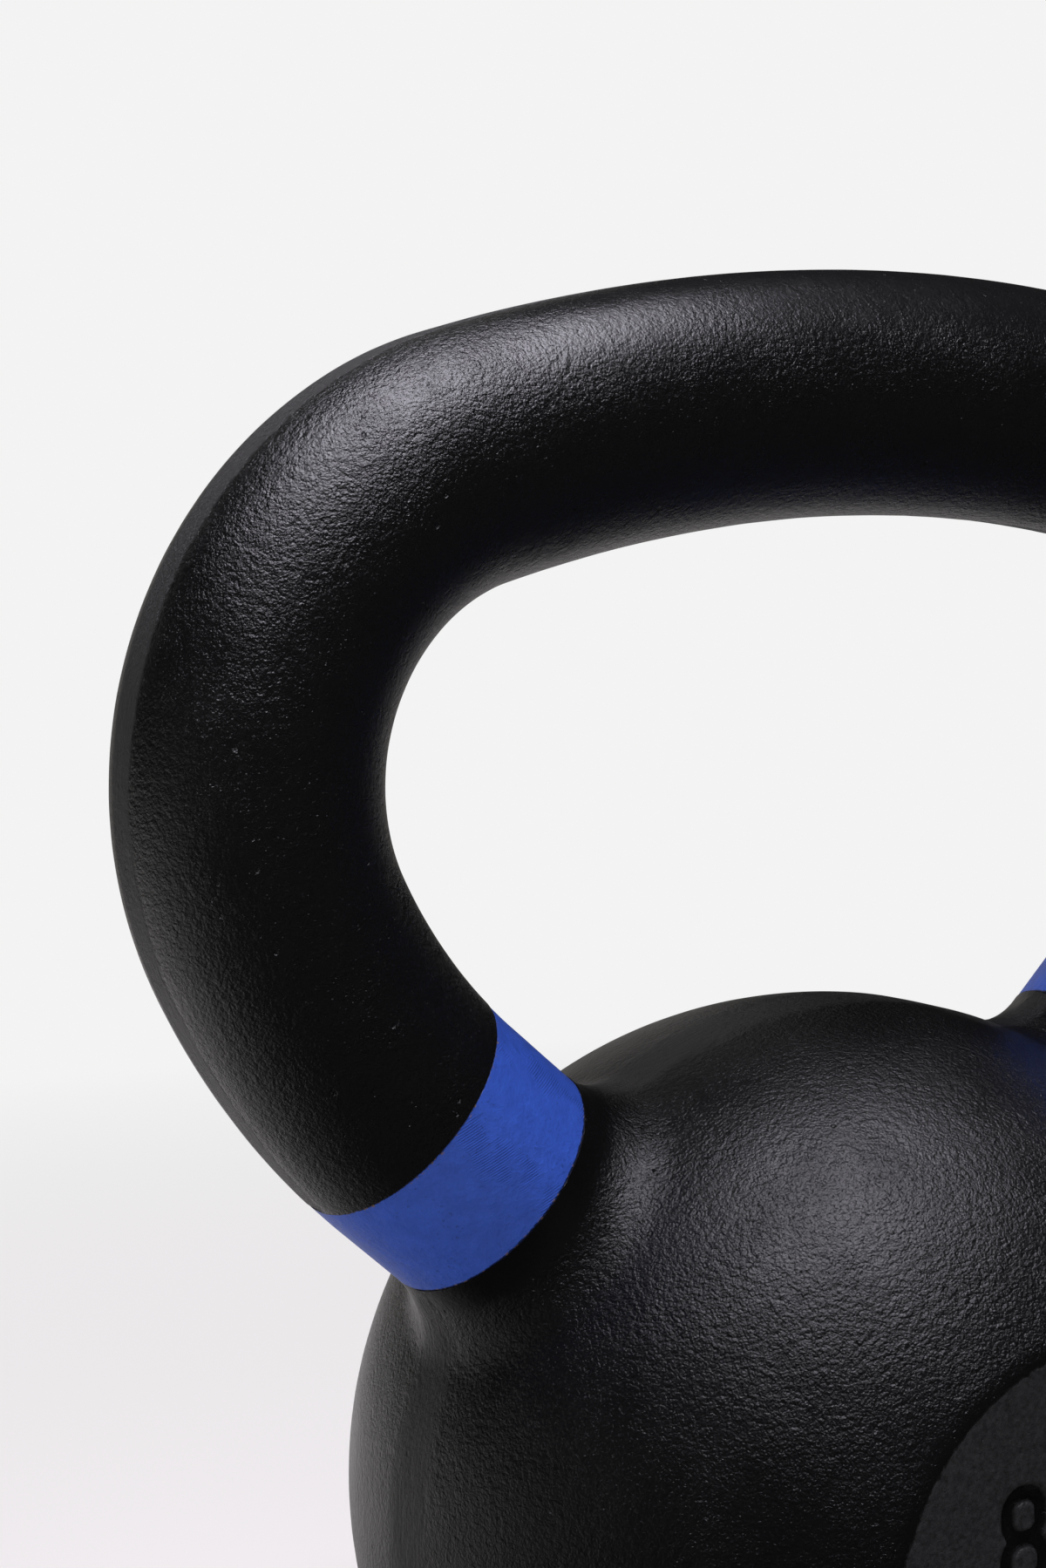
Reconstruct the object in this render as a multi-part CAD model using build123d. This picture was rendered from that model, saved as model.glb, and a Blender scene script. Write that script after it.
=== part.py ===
from build123d import *
import math
import os

# Cast-iron kettlebell: one solid casting, a black powder coat over it, and a colour band round the
# root of each horn. Millimetres, +Z up, origin at the centre of the base, front face towards -Y.
# Outer sizes are taken over the coat. Everything is modelled about the ball's centre, then raised.

# Ball and its faced base
BALL_DIAMETER = 122.0
BASE_DIAMETER = 84.0

# Round flats on the front and back of the ball
FLAT_DIAMETER = 58.0
FLAT_RIM_RADIUS = 4.0

# Handle: half of its centreline is a shallow bow over the grip, a tight corner and a bowed horn
HAND_GAP = 60.5
GRIP_DIAMETER = 30.5
HORN_DIAMETER = 31.5
GRIP_BOW_RADIUS = 207.0
GRIP_BOW_ANGLE = 13.4
CORNER_RADIUS = 38.7
CORNER_ANGLE = 100.9
HORN_BOW_RADIUS = 77.0
ROOT_FILLET_RADIUS = 10.0

# Coat and colour bands
COAT_THICKNESS = 0.3
BAND_THICKNESS = 0.2
BAND_WIDTH = 16.0
BAND_ROOT_GAP = 0.6

# Weight marking, sunk into the front flat in two rows
MARK_HEIGHT = 12.4
MARK_WIDTH = 7.1
MARK_STROKE = 1.8
MARK_DEPTH = 0.8
MARK_ROW_GAP = 4.0
MARK_LETTER_GAP = 3.4
MARK_CORNER_SHARE = 0.45

# What follows from them
BALL_RADIUS = BALL_DIAMETER / 2
GRIP_RADIUS = GRIP_DIAMETER / 2
HORN_RADIUS = HORN_DIAMETER / 2
BALL_CENTRE_HEIGHT = math.sqrt(BALL_RADIUS ** 2 - (BASE_DIAMETER / 2) ** 2)
GRIP_HEIGHT = BALL_RADIUS + HAND_GAP + GRIP_RADIUS
RIM_SETBACK = FLAT_RIM_RADIUS * math.tan(math.asin(FLAT_DIAMETER / BALL_DIAMETER) / 2)
FLAT_DISTANCE = math.sqrt(BALL_RADIUS ** 2 - (FLAT_DIAMETER / 2 + RIM_SETBACK) ** 2)
FILLET_DISTANCE = math.sqrt((BALL_RADIUS + ROOT_FILLET_RADIUS) ** 2 - (HORN_RADIUS + ROOT_FILLET_RADIUS) ** 2)
BAND_LOWER_EDGE = FILLET_DISTANCE + BAND_ROOT_GAP
ROOM = 4 * BALL_DIAMETER


def horn_bow_angle(start, tangent):
    """Turn of the horn's bow, in degrees, that leaves its end pointing at the ball's centre."""
    heading = math.atan2(tangent.Y, tangent.X)
    bow_centre = start + Vector(math.sin(heading), -math.cos(heading)) * HORN_BOW_RADIUS
    to_ball = math.atan2(-bow_centre.Y, -bow_centre.X)
    last_heading = to_ball - math.asin(HORN_BOW_RADIUS / bow_centre.length)
    return math.degrees(heading - last_heading)


def handle_centreline():
    """Right half of the handle's centreline, from the top of the grip to where the horn runs straight."""
    grip = JernArc((0, GRIP_HEIGHT), (1, 0), GRIP_BOW_RADIUS, -GRIP_BOW_ANGLE)
    corner = JernArc(grip @ 1, grip % 1, CORNER_RADIUS, -CORNER_ANGLE)
    bow_angle = horn_bow_angle(corner @ 1, corner % 1)
    horn = JernArc(corner @ 1, corner % 1, HORN_BOW_RADIUS, -bow_angle)
    return Plane.XZ * Wire([grip, corner, horn])


CENTRELINE = handle_centreline()
HORN_AXIS = (CENTRELINE @ 1).normalized()
HORN_STRAIGHT_END = (CENTRELINE @ 1).length


def tangent_arc(start, end, centre, radius):
    """Short arc from start to end round a centre, bulging along the bisector of its two ends."""
    bisector = ((start - centre).normalized() + (end - centre).normalized()).normalized()
    return ThreePointArc(start, centre + bisector * radius, end)


def flatted_ball(growth):
    """The ball with its front and back flats and their rounded rims, turned about Y."""
    radius = BALL_RADIUS + growth
    rim = FLAT_RIM_RADIUS + growth
    face = FLAT_DISTANCE + growth
    rim_centre = Vector(math.sqrt((radius - rim) ** 2 - (face - rim) ** 2), face - rim)
    flat_edge = Vector(rim_centre.X, face)
    ball_edge = rim_centre.normalized() * radius
    upper = [Line((0, face), flat_edge), tangent_arc(flat_edge, ball_edge, rim_centre, rim)]
    lower = [mirror(edge, about=Plane.XZ) for edge in upper]
    side = ThreePointArc(ball_edge, (radius, 0), (ball_edge.X, -ball_edge.Y))
    axis = Line((0, -face), (0, face))
    profile = make_face([*upper, side, *lower, axis])
    turning_plane = Plane(origin=(0, 0, 0), x_dir=(0, 0, -1), z_dir=(1, 0, 0))
    return revolve(turning_plane * profile, axis=Axis.Y)


def horn_root(growth):
    """Straight part of the right horn and its fillet onto the ball, turned about the horn's axis."""
    horn = HORN_RADIUS + growth
    ball = BALL_RADIUS + growth
    fillet_radius = ROOT_FILLET_RADIUS - growth
    fillet_centre = Vector(horn + fillet_radius, FILLET_DISTANCE)
    ball_edge = fillet_centre.normalized() * ball
    horn_edge = Vector(horn, FILLET_DISTANCE)
    profile = make_face([
        Line((0, 0), ball_edge),
        tangent_arc(ball_edge, horn_edge, fillet_centre, fillet_radius),
        Line(horn_edge, (horn, HORN_STRAIGHT_END)),
        Line((horn, HORN_STRAIGHT_END), (0, HORN_STRAIGHT_END)),
        Line((0, HORN_STRAIGHT_END), (0, 0)),
    ])
    turning_plane = Plane(origin=(0, 0, 0), x_dir=(0, 1, 0), z_dir=Vector(0, 1, 0).cross(HORN_AXIS))
    return revolve(turning_plane * profile, axis=Axis((0, 0, 0), HORN_AXIS))


def half_grip(growth):
    """Right half of the handle along its three arcs, widening evenly from the grip to the horn's root."""
    top = Plane(origin=CENTRELINE @ 0, z_dir=CENTRELINE % 0) * Circle(GRIP_RADIUS + growth)
    root = Plane(origin=CENTRELINE @ 1, z_dir=CENTRELINE % 1) * Circle(HORN_RADIUS + growth)
    return sweep([top, root], path=CENTRELINE, multisection=True)


def stroke(start, end, line):
    """A straight round-ended stroke of the marking."""
    run = Vector(*end) - Vector(*start)
    middle = (Vector(*start) + Vector(*end)) / 2
    return Pos(middle) * Rot(0, 0, math.degrees(math.atan2(run.Y, run.X))) * SlotCenterToCenter(run.length, line)


def loop(width, height, line):
    """A closed rounded loop of the marking, its width and height taken along the stroke's middle."""
    corner = MARK_CORNER_SHARE * min(width, height)
    outer = RectangleRounded(width + line, height + line, corner + line / 2)
    return outer - RectangleRounded(width - line, height - line, corner - line / 2)


def mark_glyphs(line):
    """The figures and letters of the marking, each centred on the origin, with a given stroke."""
    x = (MARK_WIDTH - MARK_STROKE) / 2
    y = (MARK_HEIGHT - MARK_STROKE) / 2
    upper_loop = Pos(0, y / 2) * loop(1.8 * x, y, line)
    lower_loop = Pos(0, -y / 2) * loop(2 * x, y, line)
    stem = stroke((-x, -y), (-x, y), line)
    letter_opening = Pos(x, y / 3) * Rectangle(2 * line, y / 2)
    return {
        "1": stroke((0, -y), (0, y), line) + stroke((-x / 2, y / 2), (0, y), line),
        "8": upper_loop + lower_loop,
        "B": Pos(-0.2 * x, 0) * upper_loop + lower_loop + stem,
        "G": loop(2 * x, 2 * y, line) - letter_opening + stroke((x / 4, 0), (x, 0), line),
        "K": stem + stroke((-x, -y / 4), (x, y), line) + stroke((-x / 4, y / 4), (x, -y), line),
        "L": stem + stroke((-x, -y), (x, -y), line),
    }


def mark_row(text, height, glyphs):
    """One row of the marking, its letters evenly spaced about the middle of the flat."""
    pitch = MARK_WIDTH + MARK_LETTER_GAP
    first = -pitch * (len(text) - 1) / 2
    return [Pos(first + pitch * place, height) * glyphs[letter] for place, letter in enumerate(text)]


def mark_recess(growth):
    """The sunk marking as a solid that reaches out past the front flat."""
    glyphs = mark_glyphs(MARK_STROKE - 2 * growth)
    row_height = (MARK_ROW_GAP + MARK_HEIGHT) / 2
    letters = mark_row("8KG", row_height, glyphs) + mark_row("18LB", -row_height, glyphs)
    floor = Plane.XZ.offset(FLAT_DISTANCE + growth - MARK_DEPTH)
    return [extrude(floor * letter, 2 * MARK_DEPTH) for letter in letters]


def casting(growth):
    """The whole bell, grown by a distance from its outer size over the coat."""
    right_side = [horn_root(growth), half_grip(growth)]
    left_side = [mirror(piece, about=Plane.YZ) for piece in right_side]
    bell = flatted_ball(growth) + right_side + left_side
    below_base = Box(ROOM, ROOM, ROOM, align=(Align.CENTER, Align.CENTER, Align.MAX))
    return bell - mark_recess(growth) - Pos(0, 0, -BALL_CENTRE_HEIGHT) * below_base


def right_band_zone():
    """The stretch of the right horn that the colour band covers, as a disc across the horn."""
    across_horn = Plane(origin=HORN_AXIS * BAND_LOWER_EDGE, z_dir=HORN_AXIS)
    disc = Cylinder(
        HORN_RADIUS + ROOT_FILLET_RADIUS, BAND_WIDTH, align=(Align.CENTER, Align.CENTER, Align.MIN)
    )
    return across_horn * disc


def main():
    iron = casting(-COAT_THICKNESS)
    band_layer = casting(BAND_THICKNESS - COAT_THICKNESS) - iron
    right_zone = right_band_zone()
    left_zone = mirror(right_zone, about=Plane.YZ)
    coat = casting(0) - iron - right_zone - left_zone
    ball_coat, grip_coat = coat.solids().sort_by(Axis.Z)
    nodes = {
        "iron_casting": iron,
        "ball_coat": ball_coat,
        "grip_coat": grip_coat,
        "left_colour_band": band_layer & left_zone,
        "right_colour_band": band_layer & right_zone,
    }
    os.makedirs("parts", exist_ok=True)
    for name, shape in nodes.items():
        export_step(Pos(0, 0, BALL_CENTRE_HEIGHT) * shape, f"parts/{name}.step")


main()
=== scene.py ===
"""A cast-iron kettlebell with a black powder coat and a colour band round the root of each horn."""

import math

import bmesh
import bpy
import numpy as np
from bpy.props import FloatProperty, FloatVectorProperty, PointerProperty
from mathutils import Matrix, Vector, noise


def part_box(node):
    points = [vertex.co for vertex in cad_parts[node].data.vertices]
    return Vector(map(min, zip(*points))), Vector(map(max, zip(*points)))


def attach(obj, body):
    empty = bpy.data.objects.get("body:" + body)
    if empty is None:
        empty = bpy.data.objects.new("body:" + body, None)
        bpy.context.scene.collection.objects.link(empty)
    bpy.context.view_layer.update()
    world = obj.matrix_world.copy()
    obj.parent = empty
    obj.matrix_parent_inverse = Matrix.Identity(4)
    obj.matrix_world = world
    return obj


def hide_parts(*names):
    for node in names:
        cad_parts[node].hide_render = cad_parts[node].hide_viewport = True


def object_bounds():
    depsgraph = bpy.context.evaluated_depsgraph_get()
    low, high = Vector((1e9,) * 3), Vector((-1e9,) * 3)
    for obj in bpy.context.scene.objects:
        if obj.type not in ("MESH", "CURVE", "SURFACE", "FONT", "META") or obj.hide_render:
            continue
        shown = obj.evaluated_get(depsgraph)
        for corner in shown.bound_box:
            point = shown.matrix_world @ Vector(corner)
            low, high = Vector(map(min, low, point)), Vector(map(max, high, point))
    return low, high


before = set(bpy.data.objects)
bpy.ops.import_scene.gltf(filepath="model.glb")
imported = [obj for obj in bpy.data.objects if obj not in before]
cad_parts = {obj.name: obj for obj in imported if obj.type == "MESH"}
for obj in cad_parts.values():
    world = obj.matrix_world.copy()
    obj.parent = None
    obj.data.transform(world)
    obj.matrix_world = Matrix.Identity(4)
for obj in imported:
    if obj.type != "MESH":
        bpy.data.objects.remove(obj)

bl_info = {
    "name": "Kettlebell",
    "version": (1, 0, 0),
    "blender": (4, 5, 0),
    "location": "View3D > Sidebar > Kettlebell",
    "description": "Builds a coated cast-iron kettlebell round its packed frame",
    "category": "Object",
}

MM = 0.001
CAD_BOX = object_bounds()
BALL_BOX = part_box("ball_coat")
LINING_GAP = 0.02 * MM
TOUCH = 0.01 * MM


# ---------------------------------------------------------------- sizes and colours

def length(name, description, default):
    named = {"name": name, "description": description}
    return FloatProperty(**named, default=default, min=0, unit="LENGTH", precision=5)


def share(name, description, default):
    return FloatProperty(name=name, description=description, default=default, min=0, subtype="FACTOR")


def turn(name, description, default):
    return FloatProperty(name=name, description=description, default=math.radians(default), subtype="ANGLE")


def shade(name, description, default):
    named = {"name": name, "description": description}
    return FloatVectorProperty(**named, default=default, min=0, max=1, subtype="COLOR")


def position(name, description, default):
    named = {"name": name, "description": description}
    return FloatVectorProperty(**named, default=default, subtype="TRANSLATION", unit="LENGTH", precision=5)


class BellSizes(bpy.types.PropertyGroup):
    """Sizes of the casting, over its coat."""

    ball_diameter: length("Ball", "Diameter of the ball", BALL_BOX[1].x - BALL_BOX[0].x)
    base_diameter: length("Base", "Diameter of the faced base", 84 * MM)
    flat_diameter: length("Flats", "Diameter of the round flats on the front and back", 58 * MM)
    flat_rim: length("Flat rim", "Radius of the rounded rim of each flat", 4 * MM)
    hand_gap: length("Hand gap", "From the top of the ball to the underside of the grip", 60.5 * MM)
    grip_diameter: length("Grip", "Diameter of the handle at the middle of the grip", 30.5 * MM)
    horn_diameter: length("Horn", "Diameter of the handle at its roots", 31.5 * MM)
    grip_bow_radius: length("Grip bow", "Radius of the shallow bow over the grip", 207 * MM)
    grip_bow_angle: turn("Grip bow turn", "Turn of half the grip's bow", 13.4)
    corner_radius: length("Corner", "Radius of the handle's corners", 38.7 * MM)
    corner_angle: turn("Corner turn", "Turn of each corner", 100.9)
    horn_bow_radius: length("Horn bow", "Radius of the bow of each horn", 77 * MM)
    root_fillet: length("Root fillet", "Radius of the fillet between horn and ball", 10 * MM)
    coat_thickness: length("Coat", "Thickness of the powder coat", 0.3 * MM)
    band_thickness: length("Band thickness", "Thickness of the colour bands", 0.2 * MM)
    band_width: length("Band width", "Width of the colour bands along the horn", 16 * MM)
    band_root_gap: length("Band gap", "From the root fillet to the band", 0.6 * MM)


class MarkSizes(bpy.types.PropertyGroup):
    """Sizes of the weight marking sunk in the front flat."""

    height: length("Height", "Height of the figures", 12.4 * MM)
    width: length("Width", "Width of the figures", 7.1 * MM)
    stroke: length("Stroke", "Width of the strokes", 1.8 * MM)
    depth: length("Depth", "Depth of the strokes", 0.8 * MM)
    softness: length("Softness", "How far the edges of the strokes are rounded", 0.28 * MM)
    row_gap: length("Row gap", "Gap between the two rows", 4 * MM)
    letter_gap: length("Letter gap", "Gap between neighbouring figures", 3.4 * MM)
    corner_share: share("Corners", "Corner radius as a share of a loop's shorter side", 0.45)


class CastingFinish(bpy.types.PropertyGroup):
    """Texture of the coat and colours of the finishes."""

    coat_colour: shade("Coat", "Colour of the powder coat", (0.0038, 0.0038, 0.004))
    band_colour: shade("Bands", "Colour of the bands", (0.05, 0.138, 0.7))
    iron_colour: shade("Iron", "Colour of the faced base", (0.36, 0.35, 0.34))
    grain_pitch: length("Grain pitch", "Size of the pebbles in the coat", 0.38 * MM)
    grain_depth: length("Grain depth", "Height of the pebbles in the coat", 0.12 * MM)
    wave_depth: length("Wave depth", "Depth of the broad unevenness of the casting", 0.08 * MM)
    dent_depth: length("Dent depth", "Depth of the dents under the grip", 0.12 * MM)
    seam_middle: length("Seam middle", "How far the dressed parting line lies behind the middle", 0.7 * MM)
    handle_seam: length("Handle seam", "Half the width of the dressed parting line on the handle", 2.7 * MM)
    ball_seam: length("Ball seam", "Half the width of the dressed parting line on the ball", 5 * MM)
    root_ridge: length("Root ridge", "Height of the ridge on the seam at the horns' roots", 0.45 * MM)
    mesh_size: length("Mesh size", "Size of the faces of the ball's skin", 0.95 * MM)


class StudioSettings(bpy.types.PropertyGroup):
    """Paper, light and camera."""

    paper: share("Paper", "Brightness of the paper behind and below", 0.896)
    overhead: share("Overhead light", "Brightness of the light panel above", 7.6)
    lift: share("Paper lift", "Glow that brings the lit paper up to its brightness", 0.07)
    thrown: share("Thrown light", "Brightness of the paper behind as the bell mirrors it", 0.85)
    fill: share("Front light", "Brightness of the soft light from the front", 1.3)
    room: share("Room", "Brightness of the unlit room", 0.008)
    lens: FloatProperty(name="Lens", description="Focal length", default=76.8, unit="CAMERA")
    camera_place: position("Camera", "Where the camera stands", (-0.24289, -0.33766, 0.18552))
    camera_aim: position("Aim", "Point that the camera looks at", (-0.019205, 0.037309, 0.131086))
    camera_roll: turn("Roll", "Turn of the camera about its line of sight", -2.01072)


# ---------------------------------------------------------------- the bell's outline

class Outline:
    """The bell's shape worked out from its sizes. Points are taken about the ball's centre."""

    def __init__(self, sizes):
        self.ball = sizes.ball_diameter / 2
        self.base = sizes.base_diameter / 2
        self.drop = math.sqrt(self.ball ** 2 - self.base ** 2)
        self.centre = Vector((0, 0, CAD_BOX[0].z + self.drop))
        self.flat = sizes.flat_diameter / 2
        self.rim = sizes.flat_rim
        setback = self.rim * math.tan(math.asin(self.flat / self.ball) / 2)
        self.face = math.sqrt(self.ball ** 2 - (self.flat + setback) ** 2)
        self.grip = sizes.grip_diameter / 2
        self.horn = sizes.horn_diameter / 2
        self.fillet = sizes.root_fillet
        self.fillet_start = math.sqrt((self.ball + self.fillet) ** 2 - (self.horn + self.fillet) ** 2)
        self.band_start = self.fillet_start + sizes.band_root_gap
        self.band_end = self.band_start + sizes.band_width
        self.place_arcs(sizes)

    def place_arcs(self, sizes):
        """The arcs of half the handle: centre, radius, first and last turn, from straight up towards +X."""
        self.arcs = []
        heading = 0.0
        point = Vector((0, self.ball + sizes.hand_gap + self.grip))
        for radius, angle in (
            (sizes.grip_bow_radius, sizes.grip_bow_angle),
            (sizes.corner_radius, sizes.corner_angle),
        ):
            centre = point - radius * self.outward(heading)
            self.arcs.append((centre, radius, heading, heading + angle))
            heading += angle
            point = centre + radius * self.outward(heading)
        radius = sizes.horn_bow_radius
        centre = point - radius * self.outward(heading)
        last = math.atan2(centre.x, centre.y) + math.acos(-radius / centre.length)
        self.arcs.append((centre, radius, heading, last))
        self.straight_end = (centre + radius * self.outward(last)).length
        self.axis = Vector((-math.cos(last), 0, math.sin(last)))
        self.half_run = sum(radius * (last - first) for centre, radius, first, last in self.arcs)

    @staticmethod
    def outward(heading):
        return Vector((math.sin(heading), math.cos(heading)))

    def horn_place(self, points):
        """Distance along the nearer horn's axis, and the offsets from that axis."""
        side = np.where(points[:, 0] < 0, -1.0, 1.0)
        axis = np.stack([side * self.axis.x, 0 * side, 0 * side + self.axis.z], 1)
        along = np.einsum("ij,ij->i", points, axis)
        return along, axis, points - along[:, None] * axis

    def handle_place(self, points):
        """Run along the handle from the middle of the grip, the centreline's point and the offset from it."""
        side = np.where(points[:, 0] < 0, -1.0, 1.0)
        x, z = np.abs(points[:, 0]), points[:, 2]
        along, axis, across = self.horn_place(points)
        run = self.half_run + self.straight_end - along
        middle = along[:, None] * axis
        start = 0.0
        left = np.ones(len(points), bool)
        for centre, radius, first, last in self.arcs:
            heading = np.arctan2(x - centre.x, z - centre.y) % (2 * math.pi)
            here = left & (heading <= last)
            run[here] = start + radius * (heading[here] - first)
            middle[here, 0] = (side * (centre.x + radius * np.sin(heading)))[here]
            middle[here, 2] = (centre.y + radius * np.cos(heading))[here]
            left &= ~here
            start += radius * (last - first)
        return run, middle, points - middle

    def tube_radius(self, run):
        return self.grip + (self.horn - self.grip) * np.clip(run / self.half_run, 0, 1)

    def onto_handle(self, points, growth):
        """Moves points onto the handle's surface, grown by a distance."""
        run, middle, offset = self.handle_place(points)
        size = np.linalg.norm(offset, axis=1)
        return middle + offset * ((self.tube_radius(run) + growth) / size)[:, None]

    def onto_ball(self, points, growth):
        """Moves points onto the surface of the ball, its flats and the horns' roots, grown by a distance."""
        moved = points / np.linalg.norm(points, axis=1)[:, None] * (self.ball + growth)
        moved = self.onto_flats(points, moved, growth)
        return self.onto_roots(points, moved, growth)

    def onto_flats(self, points, moved, growth):
        rim, face = self.rim + growth, self.face + growth
        rim_place = math.sqrt((self.ball + growth - rim) ** 2 - (face - rim) ** 2)
        side = np.sign(points[:, 1])
        out = np.hypot(points[:, 0], points[:, 2])
        over = np.abs(points[:, 1]) - (face - rim)
        lean = np.arctan2(out - rim_place, over)
        flat = (out <= rim_place) & (over > 0)
        moved[flat] = points[flat]
        moved[flat, 1] = (side * face)[flat]
        rounded = ~flat & (over > 0) & (lean <= math.atan2(rim_place, face - rim))
        new_out = rim_place + rim * np.sin(lean)
        for axis in (0, 2):
            moved[rounded, axis] = (points[:, axis] * new_out / np.maximum(out, MM))[rounded]
        moved[rounded, 1] = (side * (face - rim + rim * np.cos(lean)))[rounded]
        return moved

    def onto_roots(self, points, moved, growth):
        along, axis, across = self.horn_place(points)
        out = np.linalg.norm(across, axis=1)
        radial = across / np.maximum(out, 1e-9)[:, None]
        arc_out, radius = self.horn + self.fillet, self.fillet - growth
        lean = np.arctan2(self.fillet_start - along, arc_out - out)
        curved = (lean >= 0) & (lean <= math.atan2(self.fillet_start, arc_out)) & (along > 0)
        new_along = self.fillet_start - radius * np.sin(lean)
        new_out = arc_out - radius * np.cos(lean)
        rounded = axis * new_along[:, None] + radial * new_out[:, None]
        moved[curved] = rounded[curved]
        straight = along >= self.fillet_start
        tube = axis * along[:, None] + radial * (self.horn + growth)
        moved[straight] = tube[straight]
        return moved


# ---------------------------------------------------------------- marking

class Marking:
    """The sunk figures as a depth over the front flat. Lengths are taken from the flat's middle."""

    def __init__(self, sizes):
        self.sizes = sizes
        self.pitch = sizes.width + sizes.letter_gap
        self.row_height = (sizes.row_gap + sizes.height) / 2
        self.x = (sizes.width - sizes.stroke) / 2
        self.y = (sizes.height - sizes.stroke) / 2
        self.rows = (("8KG", self.row_height), ("18LB", -self.row_height))
        widest = max(len(text) for text, height in self.rows)
        self.half_width = self.pitch * widest / 2
        self.half_height = self.row_height + sizes.height / 2 + sizes.stroke

    def line(self, p, start, end):
        """Distance from a straight stroke."""
        start, end = np.array(start), np.array(end)
        run = end - start
        share_along = np.clip((p - start) @ run / (run @ run), 0, 1)
        return np.linalg.norm(p - start - share_along[:, None] * run, axis=1)

    def box(self, p, middle, width, height, corner):
        """Signed distance from a rounded rectangle."""
        q = np.abs(p - np.array(middle)) - np.array((width, height)) / 2 + corner
        outside = np.linalg.norm(np.maximum(q, 0), axis=1)
        return outside + np.minimum(np.maximum(q[:, 0], q[:, 1]), 0) - corner

    def loop(self, p, middle, width, height):
        """Distance from a closed rounded loop."""
        corner = self.sizes.corner_share * min(width, height)
        return np.abs(self.box(p, middle, width, height, corner))

    def figure(self, name, p):
        """Distance from the strokes of one figure or letter."""
        x, y = self.x, self.y
        stem = self.line(p, (-x, -y), (-x, y))
        if name == "1":
            return np.minimum(self.line(p, (0, -y), (0, y)), self.line(p, (-x / 2, y / 2), (0, y)))
        if name == "8":
            return np.minimum(self.loop(p, (0, y / 2), 1.8 * x, y), self.loop(p, (0, -y / 2), 2 * x, y))
        if name == "B":
            upper = self.loop(p, (-0.2 * x, y / 2), 1.8 * x, y)
            return np.minimum(np.minimum(upper, self.loop(p, (0, -y / 2), 2 * x, y)), stem)
        if name == "G":
            stroke = self.sizes.stroke
            opening = self.box(p, (x, y / 3), 2 * stroke, y / 2, 0)
            ring = np.maximum(self.loop(p, (0, 0), 2 * x, 2 * y), stroke / 2 - opening)
            return np.minimum(ring, self.line(p, (x / 4, 0), (x, 0)))
        if name == "K":
            arm = self.line(p, (-x, -y / 4), (x, y))
            return np.minimum(np.minimum(stem, arm), self.line(p, (-x / 4, y / 4), (x, -y)))
        return np.minimum(stem, self.line(p, (-x, -y), (x, -y)))

    def depth(self, points, widening):
        """How far each point of the front flat is sunk."""
        nearest = np.full(len(points), 1.0)
        for text, height in self.rows:
            first = -self.pitch * (len(text) - 1) / 2
            for place, name in enumerate(text):
                p = points[:, (0, 2)] - np.array((first + self.pitch * place, height))
                nearest = np.minimum(nearest, self.figure(name, p))
        edge = self.sizes.stroke / 2 + widening
        soft = self.sizes.softness
        level = np.clip((edge + soft - nearest) / (2 * soft), 0, 1)
        return self.sizes.depth * level * level * (3 - 2 * level)


# ---------------------------------------------------------------- mesh helpers

def coordinates(bm):
    return np.array([v.co for v in bm.verts], float).reshape(-1, 3)


def place(bm, points):
    for vertex, point in zip(bm.verts, points):
        vertex.co = point
    bm.normal_update()


def smooth_step(value, low, high):
    t = np.clip((value - low) / (high - low), 0, 1)
    return t * t * (3 - 2 * t)


def wave(points, pitch, shift=0.0):
    """Smooth noise from -1 to 1 at each point."""
    scaled = points / pitch + shift
    return np.array([noise.noise(Vector(p)) for p in scaled])


def cut(bm, point, normal):
    """Removes what lies past a plane."""
    geometry = bm.verts[:] + bm.edges[:] + bm.faces[:]
    bmesh.ops.bisect_plane(bm, geom=geometry, dist=1e-7, plane_co=point, plane_no=normal, clear_outer=True)


def remeshed(bm, voxel):
    """The outside of overlapping closed shapes as one even mesh."""
    mesh = bpy.data.meshes.new("blank")
    bm.to_mesh(mesh)
    blank = bpy.data.objects.new("blank", mesh)
    bpy.context.collection.objects.link(blank)
    modifier = blank.modifiers.new("skin", "REMESH")
    modifier.mode = "VOXEL"
    modifier.voxel_size = voxel
    skin = bpy.data.meshes.new_from_object(blank.evaluated_get(bpy.context.evaluated_depsgraph_get()))
    bm.clear()
    bm.from_mesh(skin)
    bpy.data.objects.remove(blank)
    bpy.data.meshes.remove(mesh)
    bpy.data.meshes.remove(skin)


def join_inner(bm, inner, same_rim):
    """Adds the inner side of a skin, facing inwards, and closes each pair of rims between the two sides."""
    bmesh.ops.reverse_faces(inner, faces=inner.faces[:])
    lining = bpy.data.meshes.new("lining")
    inner.to_mesh(lining)
    inner.free()
    bm.from_mesh(lining)
    bpy.data.meshes.remove(lining)
    rims = {}
    for edge in bm.edges:
        if edge.is_boundary:
            rims.setdefault(same_rim((edge.verts[0].co + edge.verts[1].co) / 2), []).append(edge)
    for edges in rims.values():
        for edge in edges:
            edge.smooth = False
        bmesh.ops.bridge_loops(bm, edges=edges)


def mark(bm, name, values):
    """Keeps one number for each vertex, for the finishes to read."""
    layer = bm.verts.layers.float.new(name)
    for vertex, value in zip(bm.verts, values):
        vertex[layer] = value


def finished(bm, name, material, node, centre):
    """Turns a bmesh about the ball's centre into a piece that stands for its CAD node."""
    bmesh.ops.translate(bm, verts=bm.verts[:], vec=centre)
    mesh = bpy.data.meshes.new(name)
    bm.to_mesh(mesh)
    bm.free()
    mesh.shade_smooth()
    mesh.materials.append(material)
    piece = bpy.data.objects.new(name, mesh)
    bpy.context.collection.objects.link(piece)
    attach(piece, "root")
    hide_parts(node)
    return piece


# ---------------------------------------------------------------- shaping of the skins

RAGGED_DEPTH = 0.09 * MM
RAGGED_REACH = 0.7 * MM


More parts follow.
